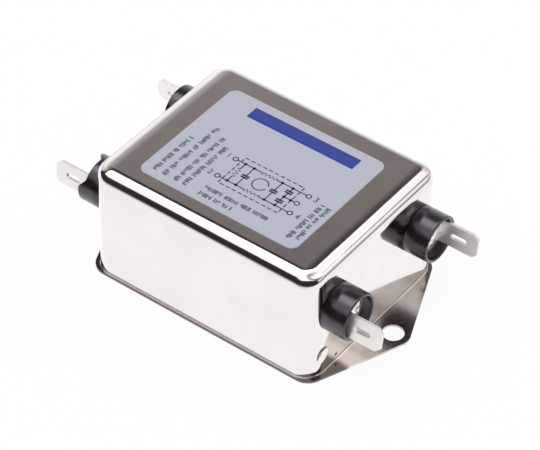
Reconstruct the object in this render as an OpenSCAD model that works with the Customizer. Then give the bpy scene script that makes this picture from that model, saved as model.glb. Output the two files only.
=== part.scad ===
// Chassis-mount interference filter: a drawn steel can with a flange and two ears, closed
// by a recessed cover, with four insulated quick-connect terminals and the circuit inside.
// The origin is at the centre of the footprint, on the mounting face.
// X runs along the can towards one pair of terminals, and Z points up.

/* [Case] */
// Length of the can over its end walls
case_l = 64; // [58:0.5:80]
// Width of the can over its long walls
case_w = 50.4; // [48:0.2:64]
// Height of the filter from the mounting face to the top of the can
case_h = 31.7; // [30:0.1:40]
// Thickness of the can's sheet
sheet_t = 0.6; // [0.5:0.05:0.8]
// Outside radius of the upright corners
corner_r = 4.9; // [4.2:0.1:6]
// Outside radius of the drawn top edge
edge_r = 3.2; // [2:0.1:3.8]

/* [Flange] */
// How far the flange stands out past the long walls
lip_w = 0.5; // [0.45:0.05:2]
// Outside radius of the bend between the walls and the flange
bend_out_r = 0.4; // [0.3:0.05:0.4]
// Radius of the flange's corners
flange_corner_r = 4.5; // [3:0.1:5]
// How far the flange's corner arcs reach past the end walls
flange_corner_out = 1; // [0.8:0.1:2]
// Distance between the two mounting holes
hole_pitch = 75; // [74.5:0.5:94]
// Diameter of the mounting holes
hole_d = 5.3; // [4.3:0.1:5.5]
// Radius of each ear's round tip
ear_tip_r = 4.2; // [4:0.1:4.4]

/* [Bottom cover] */
// Thickness of the cover's sheet
cover_t = 0.6; // [0.5:0.05:0.6]
// How far the cover's plate is recessed above the mounting face
cover_in = 0.8; // [0.5:0.1:1]
// Height of the top of the cover's walls above the mounting face
cover_top = 9.6; // [9.5:0.1:10.5]
// Gap between the cover's walls and the can
cover_gap = 0.1; // [0.05:0.01:0.15]
// Outside radius of the cover's bottom edge
cover_edge_r = 1.2; // [0.9:0.1:1.5]

/* [Stakes] */
// Distance of the stake centres from the long walls
stake_in = 4.3; // [4.2:0.1:6.2]
// Height of the stake centres above the mounting face
stake_z = 6.3; // [5.4:0.1:6.4]
// Diameter of the crater that the stake leaves in the can
crater_d = 4.9; // [4:0.1:5]
// Depth of the crater
crater_depth = 0.5; // [0.4:0.05:0.5]
// Diameter of the pit in the middle of the crater
pit_d = 1.2; // [0.8:0.1:1.4]
// Depth of the pit
pit_depth = 0.3; // [0.2:0.05:0.35]
// Diameter of the pin hole near the bottom of one end wall
pin_hole_d = 0.9; // [0.7:0.1:1.2]
// Distance of the pin hole from the long wall
pin_hole_in = 10.1; // [9.6:0.1:11.2]
// Height of the pin hole above the mounting face
pin_hole_z = 2.3; // [1.8:0.1:3]

/* [Label] */
// Length of the label
label_l = 44.6; // [38:0.2:46]
// Width of the label
label_w = 36.5; // [30:0.5:38]
// Thickness of the label
label_t = 0.15; // [0.1:0.05:0.2]
// Radius of the label's corners
label_r = 2.2; // [1:0.1:3]
// How far the label sits off the middle of the can, along its length
label_x = -0.4; // [-1:0.1:1]
// How far the label sits off the middle of the can, across its width
label_y = -0.75; // [-1:0.05:1]

/* [Terminals] */
// Distance of the terminal axes from the long walls
term_in = 9.1; // [9.1:0.1:9.8]
// Height of the terminal axes above the mounting face
term_z = 18.7; // [18.2:0.1:20]
// Diameter of the black bushings
bush_d = 12; // [11.6:0.1:12.2]
// Length of each bushing outside the can
bush_l = 6.5; // [6:0.1:9]
// Thickness of the wall round the cup in the bushing's mouth
cup_wall = 0.8; // [0.7:0.05:1]
// Depth of the cup
cup_depth = 4.4; // [3.6:0.1:4.6]
// Share of the cup's wall that each side of its rounded lip takes
lip_share = 0.44; // [0.2:0.02:0.48]
// Diameter of the bushing's neck through the wall
neck_d = 7; // [6:0.1:7.6]
// Depth of the notch in the bushing's mouth
notch_depth = 1.9; // [1:0.1:2.4]
// Angle that the notch spans
notch_angle = 80; // [40:5:90]
// Diameter of the washer behind the wall
washer_d = 8.4; // [8:0.1:8.4]
// Thickness of the washer
washer_t = 1.5; // [1.4:0.05:1.5]

/* [Tabs] */
// Width of the quick-connect tabs
tab_w = 6.3; // [5.8:0.1:6.3]
// Thickness of the tabs
tab_t = 0.8; // [0.7:0.05:0.9]
// How far the tab's tip stands out past the bushing's mouth
tab_out = 8.4; // [7.9:0.1:9]
// Gap between the corner of the tab that leans most and the cup's wall
tab_gap = 0.15; // [0.1:0.05:0.4]
// Length of the slot in the tab
slot_l = 4.4; // [3:0.1:5]
// Width of the slot in the tab
slot_w = 1.5; // [1.2:0.1:1.8]
// Distance from the tab's tip to the middle of the slot
slot_in = 5.2; // [4.6:0.1:5.4]
// Length of the slant at each corner of the tab's tip
tip_slant = 1.3; // [0.8:0.1:1.6]
// Width of the slant at each corner of the tab's tip
tip_narrow = 1.1; // [0.6:0.1:1.4]
// Outside radius of the bend between the foot and the tab
bend_r = 1.2; // [1.1:0.1:1.4]
// Distance from the terminal's axis to the free end of the tab's foot
foot_in = 3.6; // [2.8:0.1:3.8]

/* [Rivets] */
// Outside diameter of the hollow rivets
rivet_d = 3; // [2.8:0.1:3.2]
// Bore of the hollow rivets
rivet_bore_d = 2; // [1.8:0.1:2.2]
// Diameter of the rivet's rolled heads
rivet_head_d = 4.2; // [4:0.1:4.4]
// Thickness of the rivet's rolled heads
rivet_head_t = 0.5; // [0.4:0.05:0.6]
// Height of the solder above the foot
solder_h = 1.2; // [1:0.1:1.5]

/* [Circuit] */
// Thickness of the insulating liner
liner_t = 0.4; // [0.3:0.05:0.5]
// Gap between the liner's top and the inside of the can
liner_top_gap = 1; // [1:0.1:2]
// Depth of the potting compound over the cover's plate
potting_h = 3.6; // [3:0.1:4]
// Gap between the circuit board's edges and the liner
board_gap = 1.2; // [1:0.1:2]
// Thickness of the circuit board
board_t = 1.6; // [1.2:0.1:2]
// Outside diameter of the ring core
core_d = 23; // [21:0.5:25]
// Bore of the ring core
core_bore_d = 13; // [12:0.5:14]
// Height of the ring core
core_h = 12; // [9:0.5:14]
// Thickness of the winding on the core
winding_t = 1.3; // [1:0.1:1.5]
// Angle of the core that each winding covers
winding_angle = 146; // [120:2:150]
// Thickness of the strip between the windings
divider_t = 1.2; // [0.8:0.1:1.6]
// Length of the capacitors across the line
x_cap_l = 18; // [15:0.5:18]
// Width of the capacitors across the line
x_cap_w = 6; // [5:0.5:6.5]
// Height of the capacitors across the line
x_cap_h = 12; // [10:0.5:13]
// Distance of these capacitors from the ends of the board
x_cap_in = 4.3; // [4:0.1:5]
// Pitch of their leads
x_cap_pitch = 15; // [12:0.5:15]
// Diameter of the disc capacitors
y_cap_d = 9; // [8:0.5:10]
// Thickness of the disc capacitors
y_cap_t = 3.6; // [3:0.1:4]
// Pitch of their leads
y_cap_pitch = 7.5; // [5:0.5:7.5]
// Distance of the disc capacitors from the edge of the board
y_cap_in = 0.7; // [0.5:0.1:1]
// Gap between the two disc capacitors
y_cap_gap = 2.6; // [1:0.1:6]
// Length of the resistor's body
resistor_l = 8; // [6:0.5:9]
// Diameter of the resistor's body
resistor_d = 3.2; // [2.4:0.1:3.4]
// Pitch of the resistor's leads
resistor_pitch = 12.5; // [12:0.5:15]
// Distance of the resistor from the edge of the board
resistor_in = 0.9; // [0.5:0.1:1.2]
// Diameter of the component leads
lead_d = 0.8; // [0.6:0.05:1]
// Diameter of the hookup wires
wire_d = 1.6; // [1.2:0.1:1.8]
// Radius of the bend in each hookup wire
wire_bend_r = 3; // [2.4:0.1:3.6]
// Distance of the hookup wires' upright runs from the ends of the board
wire_in = 2.7; // [2.4:0.1:3]
// Diameter of the earth wire
earth_d = 1.2; // [1:0.1:1.4]

/* [Hidden] */
$fn = 64;

// Overrun of every cut past the face it opens
overrun = 1;
// Clearance round a neck, a rivet or a lead in its hole
hole_gap = 0.1;
// Clearance of a slack fit, such as the liner in the cover
slack_gap = 0.3;

steel = [0.80, 0.79, 0.77];
black_plastic = [0.06, 0.06, 0.07];
tin = [0.84, 0.84, 0.82];

// Which end and which side each of the four terminals is on
ends = [1, 1, -1, -1];
sides = [-1, 1, -1, 1];
// How far each tab leans about its own length, as it was fitted
tab_leans = [10, 4.5, 5, -7];
// Direction of each bushing's notch, round its axis from +Y towards +Z
notch_turns = [-60, 0, 135, 0];

can_l2 = case_l / 2;
can_w2 = case_w / 2;
term_y = can_w2 - term_in;
stake_y = can_w2 - stake_in;
pin_hole_y = can_w2 - pin_hole_in;
cup_d = bush_d - 2 * cup_wall;
lip_r = lip_share * cup_wall;
lean = max([for (a = tab_leans) abs(a)]);
tab_corner_y = (tab_t * cos(lean) + tab_w * sin(lean)) / 2;
tab_corner_z = (tab_w * cos(lean) - tab_t * sin(lean)) / 2;
tab_offset = sqrt(pow(cup_d / 2 - tab_gap, 2) - pow(tab_corner_z, 2)) - tab_corner_y;
wall_x = can_l2 - sheet_t;
cover_l2 = wall_x - cover_gap;
cover_w2 = can_w2 - sheet_t - cover_gap;
cover_r = corner_r - sheet_t - cover_gap;
cover_plate_z = cover_in + cover_t;
crater_r = (pow(crater_d / 2, 2) + pow(crater_depth, 2)) / (2 * crater_depth);
crater_x = can_l2 - crater_depth + crater_r;
cover_crater_r = crater_r + sheet_t + cover_gap;
mouth_x = can_l2 + bush_l;
floor_x = mouth_x - cup_depth;
foot_x = floor_x + tab_t;
tip_x = mouth_x + tab_out;
washer_x = wall_x - washer_t;
liner_x = crater_x - cover_crater_r - cover_t - slack_gap;
liner_y = cover_w2 - cover_edge_r;
liner_r = cover_r - cover_edge_r;
liner_top_z = case_h - sheet_t - liner_top_gap;
potting_top_z = cover_plate_z + potting_h;
board_top_z = potting_top_z + board_t;
core_z = board_top_z + winding_t;
// Angle from a winding's end to its lead
winding_turn_in = 4;
board_l2 = liner_x - liner_t - board_gap;
board_w2 = liner_y - liner_t - board_gap;
wire_x = board_l2 - wire_in;
x_cap_x = board_l2 - x_cap_in - x_cap_w / 2;
y_cap_x = (y_cap_d + y_cap_gap) / 2;
y_cap_y = board_w2 - y_cap_in - y_cap_t / 2;
y_cap_z = board_top_z + lead_d + y_cap_d / 2;
resistor_y = board_w2 - resistor_in - resistor_d / 2;
resistor_z = board_top_z + slack_gap + resistor_d / 2;
earth_x = x_cap_x;
earth_y = x_cap_l / 2 + slack_gap + earth_d;

// Turns a shape drawn along +Z so that it runs along +X, with its own +X towards -Z
module along_x() {
    rotate([0, 90, 0])
        children();
}

// Outline of a rectangle with round corners, centred on the origin
module round_rect(l, w, r) {
    square([l - 2 * r, w], center = true);
    square([l, w - 2 * r], center = true);
    for (x = [-1, 1], y = [-1, 1])
        translate([x * (l / 2 - r), y * (w / 2 - r)])
            circle(r = r);
}

// A flat plate with round corners, with its bottom at zero
module round_plate(l, w, r, h) {
    linear_extrude(height = h)
        round_rect(l, w, r);
}

// Half section of a solid with a straight side r from the axis and a round shoulder
module solid_section(r, shoulder, rise) {
    square([r, rise - shoulder]);
    square([r - shoulder, rise]);
    intersection() {
        translate([r - shoulder, rise - shoulder])
            circle(r = shoulder);
        square([r, rise]);
    }
}

// Half section of a bent sheet: a wall up from zero, a shoulder and a plate back to the axis
module sheet_section(r, t, shoulder, rise) {
    difference() {
        solid_section(r, shoulder, rise);
        solid_section(r - t, shoulder - t, rise - t);
    }
}

// Draws a half section along the four walls and round the four upright corners
module around(l2, w2, r) {
    for (s = [0, 180])
        rotate([0, 0, s]) {
            translate([l2 - r, w2 - r, 0])
                rotate([90, 0, 0])
                    linear_extrude(height = 2 * (w2 - r))
                        children();
            translate([r - l2, w2 - r, 0])
                rotate([90, 0, 90])
                    linear_extrude(height = 2 * (l2 - r))
                        children();
            translate([l2 - r, w2 - r, 0])
                rotate_extrude(angle = 90)
                    children();
            translate([r - l2, w2 - r, 0])
                rotate([0, 0, 90])
                    rotate_extrude(angle = 90)
                        children();
        }
}

// Places its children at a terminal, with the terminal's axis along +X from the can's middle plane
module at_terminal(i) {
    translate([0, sides[i] * term_y, term_z])
        if (ends[i] > 0)
            children();
        else
            mirror([1, 0, 0])
                children();
}

// Places its children at each of the four stakes, with +X out of the end wall
module at_stakes() {
    for (x = [0, 1], y = [-1, 1])
        mirror([x, 0, 0])
            translate([0, y * stake_y, stake_z])
                children();
}

// Sheet pushed inwards behind the stakes: balls of radius r, kept inside an outline
module stake_domes(r, l2, w2, corner) {
    intersection() {
        at_stakes()
            translate([crater_x, 0, 0])
                sphere(r = r);
        translate([0, 0, stake_z - crater_d])
            round_plate(2 * l2, 2 * w2, corner, 2 * crater_d);
    }
}

module can_section() {
    difference() {
        union() {
            sheet_section(corner_r, sheet_t, edge_r, case_h);
            translate([corner_r, 0])
                square([bend_out_r, sheet_t + bend_out_r]);
        }
        translate([corner_r + bend_out_r, sheet_t + bend_out_r])
            circle(r = bend_out_r);
        difference() {
            translate([0, -overrun])
                square([corner_r + bend_out_r, overrun + sheet_t + bend_out_r]);
            translate([corner_r + bend_out_r, sheet_t + bend_out_r])
                circle(r = sheet_t + bend_out_r);
        }
    }
}

// Outline of the flange and ears: arcs at the corners and tips, joined by straight edges
module flange_outline() {
    corner = [can_l2 + flange_corner_out - flange_corner_r, can_w2 + lip_w - flange_corner_r];
    tip = [hole_pitch / 2, 0];
    way = tip - corner;
    turn = atan2(way[1], way[0]) + acos((flange_corner_r - ear_tip_r) / norm(way));
    n = [cos(turn), sin(turn)];
    near = corner + flange_corner_r * n;
    far = tip + ear_tip_r * n;
    for (x = [0, 1])
        mirror([x, 0]) {
            polygon([
                [0, can_w2 + lip_w], [corner[0], can_w2 + lip_w], corner, near, far,
                [far[0], -far[1]], [near[0], -near[1]], [corner[0], -corner[1]],
                [corner[0], -can_w2 - lip_w], [0, -can_w2 - lip_w]
            ]);
            for (y = [-1, 1])
                translate([corner[0], y * corner[1]])
                    circle(r = flange_corner_r);
            translate(tip)
                circle(r = ear_tip_r);
        }
}

module flange() {
    linear_extrude(height = sheet_t)
        difference() {
            flange_outline();
            round_rect(2 * (can_l2 + bend_out_r), 2 * (can_w2 + bend_out_r), corner_r + bend_out_r);
            for (x = [-1, 1])
                translate([x * hole_pitch / 2, 0])
                    circle(d = hole_d);
        }
}

module case_can() {
    color(steel)
        difference() {
            union() {
                around(can_l2, can_w2, corner_r)
                    can_section();
                translate([corner_r - can_l2, corner_r - can_w2, case_h - sheet_t])
                    cube([2 * (can_l2 - corner_r), 2 * (can_w2 - corner_r), sheet_t]);
                flange();
                stake_domes(crater_r + sheet_t, can_l2 - sheet_t / 2, can_w2 - sheet_t / 2,
                    corner_r - sheet_t / 2);
            }
            at_stakes()
                translate([crater_x, 0, 0])
                    sphere(r = crater_r);
            at_stakes()
                translate([can_l2 - crater_depth - pit_depth, 0, 0])
                    along_x()
                        cylinder(d = pit_d, h = crater_depth + pit_depth, $fn = 24);
            for (i = [0:3])
                at_terminal(i)
                    translate([wall_x - overrun, 0, 0])
                        along_x()
                            cylinder(d = neck_d + 2 * hole_gap, h = sheet_t + 2 * overrun);
            translate([wall_x - overrun, -pin_hole_y, pin_hole_z])
                along_x()
                    cylinder(d = pin_hole_d, h = sheet_t + 2 * overrun, $fn = 24);
        }
}

// Pressed tray inside the can's mouth, open at the top and held by the stakes
module bottom_cover() {
    color([0.62, 0.59, 0.56])
        difference() {
            union() {
                around(cover_l2, cover_w2, cover_r)
                    translate([0, cover_top])
                        mirror([0, 1])
                            sheet_section(cover_r, cover_t, cover_edge_r, cover_top - cover_in);
                translate([cover_r - cover_l2, cover_r - cover_w2, cover_in])
                    cube([2 * (cover_l2 - cover_r), 2 * (cover_w2 - cover_r), cover_t]);
                stake_domes(cover_crater_r + cover_t, cover_l2 - cover_t / 2, cover_w2 - cover_t / 2,
                    cover_r - cover_t / 2);
            }
            at_stakes()
                translate([crater_x, 0, 0])
                    sphere(r = cover_crater_r);
        }
}

module label() {
    color([0.72, 0.74, 0.79])
        translate([label_x, label_y, case_h])
            round_plate(label_l, label_w, label_r, label_t);
}

// Turned shape of a bushing: cup, floor and neck, with a rounded lip
module bushing_section() {
    out = bush_d / 2;
    in = cup_d / 2;
    bore = rivet_d / 2 + hole_gap;
    translate([bore, wall_x])
        square([neck_d / 2 - bore, floor_x - wall_x]);
    translate([bore, can_l2])
        square([out - bore, floor_x - can_l2]);
    translate([in, can_l2])
        square([out - in, mouth_x - lip_r - can_l2]);
    translate([in + lip_r, can_l2])
        square([out - in - 2 * lip_r, mouth_x - can_l2]);
    for (r = [in + lip_r, out - lip_r])
        translate([r, mouth_x - lip_r])
            circle(r = lip_r, $fn = 32);
}

module bushing(i) {
    color(black_plastic)
        at_terminal(i)
            difference() {
                along_x()
                    rotate_extrude()
                        bushing_section();
                translate([mouth_x - notch_depth, 0, 0])
                    rotate([notch_turns[i] - notch_angle / 2, 0, 0])
                        rotate([90, 0, 90])
                            rotate_extrude(angle = notch_angle)
                                translate([cup_d / 2 - overrun, 0])
                                    square([(bush_d - cup_d) / 2 + 2 * overrun, notch_depth + overrun]);
            }
}

// Flat outline of a tab beyond its bend, with x along the tab
module blade_outline(l) {
    polygon([
        [0, -tab_w / 2], [l - tip_slant, -tab_w / 2], [l, tip_narrow - tab_w / 2],
        [l, tab_w / 2 - tip_narrow], [l - tip_slant, tab_w / 2], [0, tab_w / 2]
    ]);
}

// A tab with its bend and the end of its foot, drawn with its own plane through the X and Z axes
module blade() {
    l = tip_x - floor_x - bend_r;
    translate([floor_x + bend_r, tab_t / 2, 0])
        rotate([90, 0, 0])
            linear_extrude(height = tab_t)
                difference() {
                    blade_outline(l);
                    for (x = [-1, 1])
                        translate([l - slot_in + x * (slot_l - slot_w) / 2, 0])
                            circle(d = slot_w, $fn = 24);
                    translate([l - slot_in, 0])
                        square([slot_l - slot_w, slot_w], center = true);
                }
    translate([floor_x + bend_r, tab_t / 2 - bend_r, -tab_w / 2])
        rotate([0, 0, 90])
            rotate_extrude(angle = 90)
                translate([bend_r - tab_t, 0])
                    square([tab_t, tab_w]);
    translate([floor_x, tab_t / 2 - 2 * bend_r, -tab_w / 2])
        cube([tab_t, bend_r, tab_w]);
}

// Foot and tab of one terminal, at the bushing's own axis, for the side it is on
module terminal_shape(i) {
    side = sides[i];
    bend_y = tab_offset + tab_t / 2 - bend_r;
    difference() {
        union() {
            translate([floor_x, side > 0 ? -foot_in : -bend_y, -tab_w / 2])
                cube([tab_t, foot_in + bend_y, tab_w]);
            translate([0, side * tab_offset, 0])
                rotate([-tab_leans[i], 0, 0])
                    mirror([0, side > 0 ? 0 : 1, 0])
                        blade();
        }
        translate([floor_x - overrun, 0, 0])
            along_x()
                cylinder(d = rivet_d + 2 * hole_gap, h = tab_t + 2 * overrun);
    }
}

module terminal_tab(i) {
    color(tin)
        at_terminal(i)
            terminal_shape(i);
}

// The rivet without its bore: a shank, a head on the foot and another behind the washer
module rivet_blank() {
    translate([washer_x - rivet_head_t, 0, 0])
        along_x()
            cylinder(d = rivet_d, h = foot_x + 2 * rivet_head_t - washer_x);
    for (x = [washer_x - rivet_head_t, foot_x])
        translate([x, 0, 0])
            along_x()
                cylinder(d = rivet_head_d, h = rivet_head_t);
}

module terminal_rivets() {
    color(tin)
        for (i = [0:3])
            at_terminal(i)
                difference() {
                    rivet_blank();
                    translate([washer_x - rivet_head_t - overrun, 0, 0])
                        along_x()
                            cylinder(d = rivet_bore_d, h = foot_x - washer_x + 2 * (rivet_head_t + overrun));
                }
}

// Solder over the foot, the rivet's head and the wire's end, domed in the middle
module terminal_solder() {
    solder_d = cup_d - 2 * hole_gap;
    color([0.88, 0.88, 0.88])
        for (i = [0:3])
            at_terminal(i)
                difference() {
                    union() {
                        translate([floor_x, 0, 0])
                            along_x()
                                cylinder(d = solder_d, h = tab_t + hole_gap);
                        translate([foot_x + hole_gap, 0, 0])
                            along_x()
                                cylinder(d1 = solder_d, d2 = rivet_head_d, h = solder_h - hole_gap);
                    }
                    terminal_shape(i);
                    rivet_blank();
                    translate([floor_x - overrun, 0, 0])
                        along_x()
                            cylinder(d = rivet_d + 2 * hole_gap, h = tab_t + overrun);
                }
}

module inner_washers() {
    color([0.85, 0.82, 0.74])
        for (i = [0:3])
            at_terminal(i)
                difference() {
                    translate([washer_x, 0, 0])
                        along_x()
                            cylinder(d = washer_d, h = washer_t);
                    translate([washer_x - overrun, 0, 0])
                        along_x()
                            cylinder(d = rivet_d + 2 * hole_gap, h = washer_t + 2 * overrun);
                }
}

// Thin tray, open at the bottom, that keeps the circuit off the can
module insulating_liner() {
    in_l2 = liner_x - liner_t;
    in_w2 = liner_y - liner_t;
    color([0.80, 0.72, 0.52])
        difference() {
            translate([0, 0, cover_plate_z])
                round_plate(2 * liner_x, 2 * liner_y, liner_r, liner_top_z - cover_plate_z);
            translate([0, 0, cover_plate_z - overrun])
                round_plate(2 * in_l2, 2 * in_w2, liner_r - liner_t,
                    liner_top_z - cover_plate_z - liner_t + overrun);
            for (i = [0:3])
                at_terminal(i)
                    translate([in_l2 - overrun, 0, 0])
                        along_x()
                            cylinder(d = washer_d + 2 * slack_gap, h = liner_t + 2 * overrun);
        }
}

module potting_compound() {
    color([0.16, 0.15, 0.15])
        difference() {
            translate([0, 0, cover_plate_z])
                round_plate(2 * (liner_x - liner_t), 2 * (liner_y - liner_t), liner_r - liner_t, potting_h);
            translate([earth_x, earth_y, cover_plate_z - overrun])
                cylinder(d = earth_d + 2 * hole_gap, h = potting_h + 2 * overrun, $fn = 24);
        }
}

// Drills the board for a lead or a wire of diameter d at each of the places
module board_holes(places, d) {
    for (p = places)
        translate([p[0], p[1], potting_top_z - overrun])
            cylinder(d = d + 2 * hole_gap, h = board_t + 2 * overrun, $fn = 24);
}

x_cap_leads = [for (x = [-1, 1], y = [-1, 1]) [x * x_cap_x, y * x_cap_pitch / 2]];
y_cap_leads = [for (x = [-1, 1], s = [-1, 1]) [x * y_cap_x + s * y_cap_pitch / 2, -y_cap_y]];
resistor_leads = [for (s = [-1, 1]) [s * resistor_pitch / 2, resistor_y]];
winding_lead_r = core_d / 2 + winding_t / 2;
winding_lead_d = winding_t - 2 * hole_gap;
winding_leads = [for (w = [0, 1], s = [-1, 1])
    winding_lead_r * [
        cos(90 + 180 * w + s * (winding_angle / 2 - winding_turn_in)),
        sin(90 + 180 * w + s * (winding_angle / 2 - winding_turn_in))
    ]];
wire_ends = [for (i = [0:3]) [ends[i] * wire_x, sides[i] * term_y]];

module circuit_board() {
    color([0.20, 0.42, 0.24])
        difference() {
            translate([-board_l2, -board_w2, potting_top_z])
                cube([2 * board_l2, 2 * board_w2, board_t]);
            board_holes(x_cap_leads, lead_d);
            board_holes(y_cap_leads, lead_d);
            board_holes(resistor_leads, lead_d);
            board_holes(winding_leads, winding_lead_d);
            board_holes(wire_ends, wire_d);
            board_holes([[earth_x, earth_y]], earth_d);
        }
}

module choke_core() {
    color([0.25, 0.26, 0.28])
        translate([0, 0, core_z])
            rotate_extrude()
                translate([core_bore_d / 2, 0])
                    square([(core_d - core_bore_d) / 2, core_h]);
}

// One winding: a close layer of wire round its part of the core, with two leads
module choke_winding(w) {
    color([0.72, 0.40, 0.20]) {
        translate([0, 0, core_z])
            rotate([0, 0, 90 + 180 * w - winding_angle / 2])
                rotate_extrude(angle = winding_angle)
                    difference() {
                        translate([core_bore_d / 2 - winding_t, -winding_t])
                            square([(core_d - core_bore_d) / 2 + 2 * winding_t, core_h + 2 * winding_t]);
                        translate([core_bore_d / 2, 0])
                            square([(core_d - core_bore_d) / 2, core_h]);
                    }
        for (s = [0, 1])
            translate([winding_leads[2 * w + s][0], winding_leads[2 * w + s][1], potting_top_z])
                cylinder(d = winding_lead_d, h = core_z - potting_top_z, $fn = 24);
    }
}

module choke_divider() {
    color([0.90, 0.88, 0.80])
        translate([slack_gap - core_bore_d / 2, -divider_t / 2, board_top_z])
            cube([core_bore_d - 2 * slack_gap, divider_t, core_h + 2 * winding_t]);
}

// Leads straight down through the board from height z
module leads(places, z) {
    for (p = places)
        translate([p[0], p[1], potting_top_z])
            cylinder(d = lead_d, h = z - potting_top_z, $fn = 24);
}

module x_capacitor(k) {
    color([0.86, 0.72, 0.16]) {
        translate([(2 * k - 1) * x_cap_x - x_cap_w / 2, -x_cap_l / 2, board_top_z])
            cube([x_cap_w, x_cap_l, x_cap_h]);
        leads([x_cap_leads[2 * k], x_cap_leads[2 * k + 1]], board_top_z + lead_d);
    }
}

module y_capacitor(k) {
    color([0.18, 0.42, 0.62]) {
        translate([(2 * k - 1) * y_cap_x, y_cap_t / 2 - y_cap_y, y_cap_z])
            rotate([90, 0, 0])
                cylinder(d = y_cap_d, h = y_cap_t);
        leads([y_cap_leads[2 * k], y_cap_leads[2 * k + 1]], y_cap_z);
    }
}

module bleed_resistor() {
    color([0.72, 0.62, 0.44]) {
        translate([-resistor_l / 2, resistor_y, resistor_z])
            along_x()
                cylinder(d = resistor_d, h = resistor_l);
        translate([-resistor_pitch / 2, resistor_y, resistor_z])
            along_x()
                cylinder(d = lead_d, h = resistor_pitch, $fn = 24);
        leads(resistor_leads, resistor_z);
        for (s = [-1, 1])
            translate([s * resistor_pitch / 2, resistor_y, resistor_z])
                sphere(d = lead_d, $fn = 24);
    }
}

// Hookup wire from inside the rivet, round one bend and down through the board
module hookup_wire(i) {
    bend_x = wire_x + wire_bend_r;
    color([0.75, 0.12, 0.10])
        at_terminal(i) {
            translate([bend_x, 0, 0])
                along_x()
                    cylinder(d = wire_d, h = foot_x + rivet_head_t - bend_x, $fn = 32);
            translate([bend_x, 0, -wire_bend_r])
                rotate([90, 0, 0])
                    rotate([0, 0, 90])
                        rotate_extrude(angle = 90, $fn = 48)
                            translate([wire_bend_r, 0])
                                circle(d = wire_d, $fn = 32);
            translate([wire_x, 0, potting_top_z - term_z])
                cylinder(d = wire_d, h = term_z - wire_bend_r - potting_top_z, $fn = 32);
        }
}

// Bare wire from the board, through the compound, to the cover's plate
module earth_wire() {
    color([0.80, 0.55, 0.30])
        translate([earth_x, earth_y, cover_plate_z])
            cylinder(d = earth_d, h = board_top_z + earth_d - cover_plate_z, $fn = 24);
}

case_can();
bottom_cover();
label();
bushing(0);  // terminal_bushing_1
bushing(1);  // terminal_bushing_2
bushing(2);  // terminal_bushing_3
bushing(3);  // terminal_bushing_4
terminal_tab(0);  // terminal_tab_1
terminal_tab(1);  // terminal_tab_2
terminal_tab(2);  // terminal_tab_3
terminal_tab(3);  // terminal_tab_4
terminal_rivets();
terminal_solder();
inner_washers();
insulating_liner();
potting_compound();
circuit_board();
choke_core();
choke_winding(0);  // choke_winding_1
choke_winding(1);  // choke_winding_2
choke_divider();
x_capacitor(0);  // x_capacitor_1
x_capacitor(1);  // x_capacitor_2
y_capacitor(0);  // y_capacitor_1
y_capacitor(1);  // y_capacitor_2
bleed_resistor();
hookup_wire(0);  // hookup_wire_1
hookup_wire(1);  // hookup_wire_2
hookup_wire(2);  // hookup_wire_3
hookup_wire(3);  // hookup_wire_4
earth_wire();
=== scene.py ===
"""Looks of a chassis-mount interference filter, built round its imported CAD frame.

Everything is in metres, with the mounting face at z = 0 and the can along X.
"""

import math
import random

import bmesh
import bpy
from bpy.props import FloatProperty, FloatVectorProperty, PointerProperty
from mathutils import Matrix, Vector, noise


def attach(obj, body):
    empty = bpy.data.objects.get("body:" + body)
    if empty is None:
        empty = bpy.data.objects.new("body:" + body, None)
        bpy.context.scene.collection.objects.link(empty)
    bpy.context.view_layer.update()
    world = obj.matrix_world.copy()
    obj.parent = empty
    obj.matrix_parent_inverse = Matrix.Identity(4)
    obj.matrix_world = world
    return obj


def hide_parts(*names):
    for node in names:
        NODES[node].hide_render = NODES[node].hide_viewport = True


bl_info = {
    "name": "Interference filter",
    "version": (1, 0, 0),
    "blender": (4, 5, 0),
    "location": "3D View > Sidebar > Filter",
    "description": "Finishes and fine pieces of a chassis-mount interference filter",
    "category": "Object",
}

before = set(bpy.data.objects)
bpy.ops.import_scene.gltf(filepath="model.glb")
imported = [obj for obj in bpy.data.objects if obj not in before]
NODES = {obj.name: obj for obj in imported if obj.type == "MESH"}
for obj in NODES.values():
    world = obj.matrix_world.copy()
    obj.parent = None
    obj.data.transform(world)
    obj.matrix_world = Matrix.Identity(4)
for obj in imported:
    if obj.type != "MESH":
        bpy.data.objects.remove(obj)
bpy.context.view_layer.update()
MM = 0.001

# The picture that the camera is set for
PICTURE = (540, 450)
FOCAL_PIXELS = 2721.4
SENSOR = 36.0

# Ends and sides of the four terminals, in the order of their nodes' names
TERMINALS = [(1, -1), (1, 1), (-1, -1), (-1, 1)]
TERM_Y = 16.1 * MM
TERM_Z = 18.7 * MM
LABEL_TOP = 31.85 * MM

# Places along a terminal's axis and distances from it, in millimetres
WALL_X, FACE_X, FLOOR_X, MOUTH_X = 31.4, 32.0, 34.1, 38.5
BORE_R, NECK_R, CUP_R, BUSHING_R = 1.6, 3.5, 5.2, 6.0

# Low part of each bushing's rim: direction of its middle from +Y upwards, half its angle and the angle of its slope,
# all in degrees, and its depth in millimetres
LOW_RIMS = [(-78, 30, 10, 1.9), (-17, 32, 10, 1.9), (115, 58, 30, 1.75), (0, 42, 10, 1.9)]


# ---------------------------------------------------------------- shader maths


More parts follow.
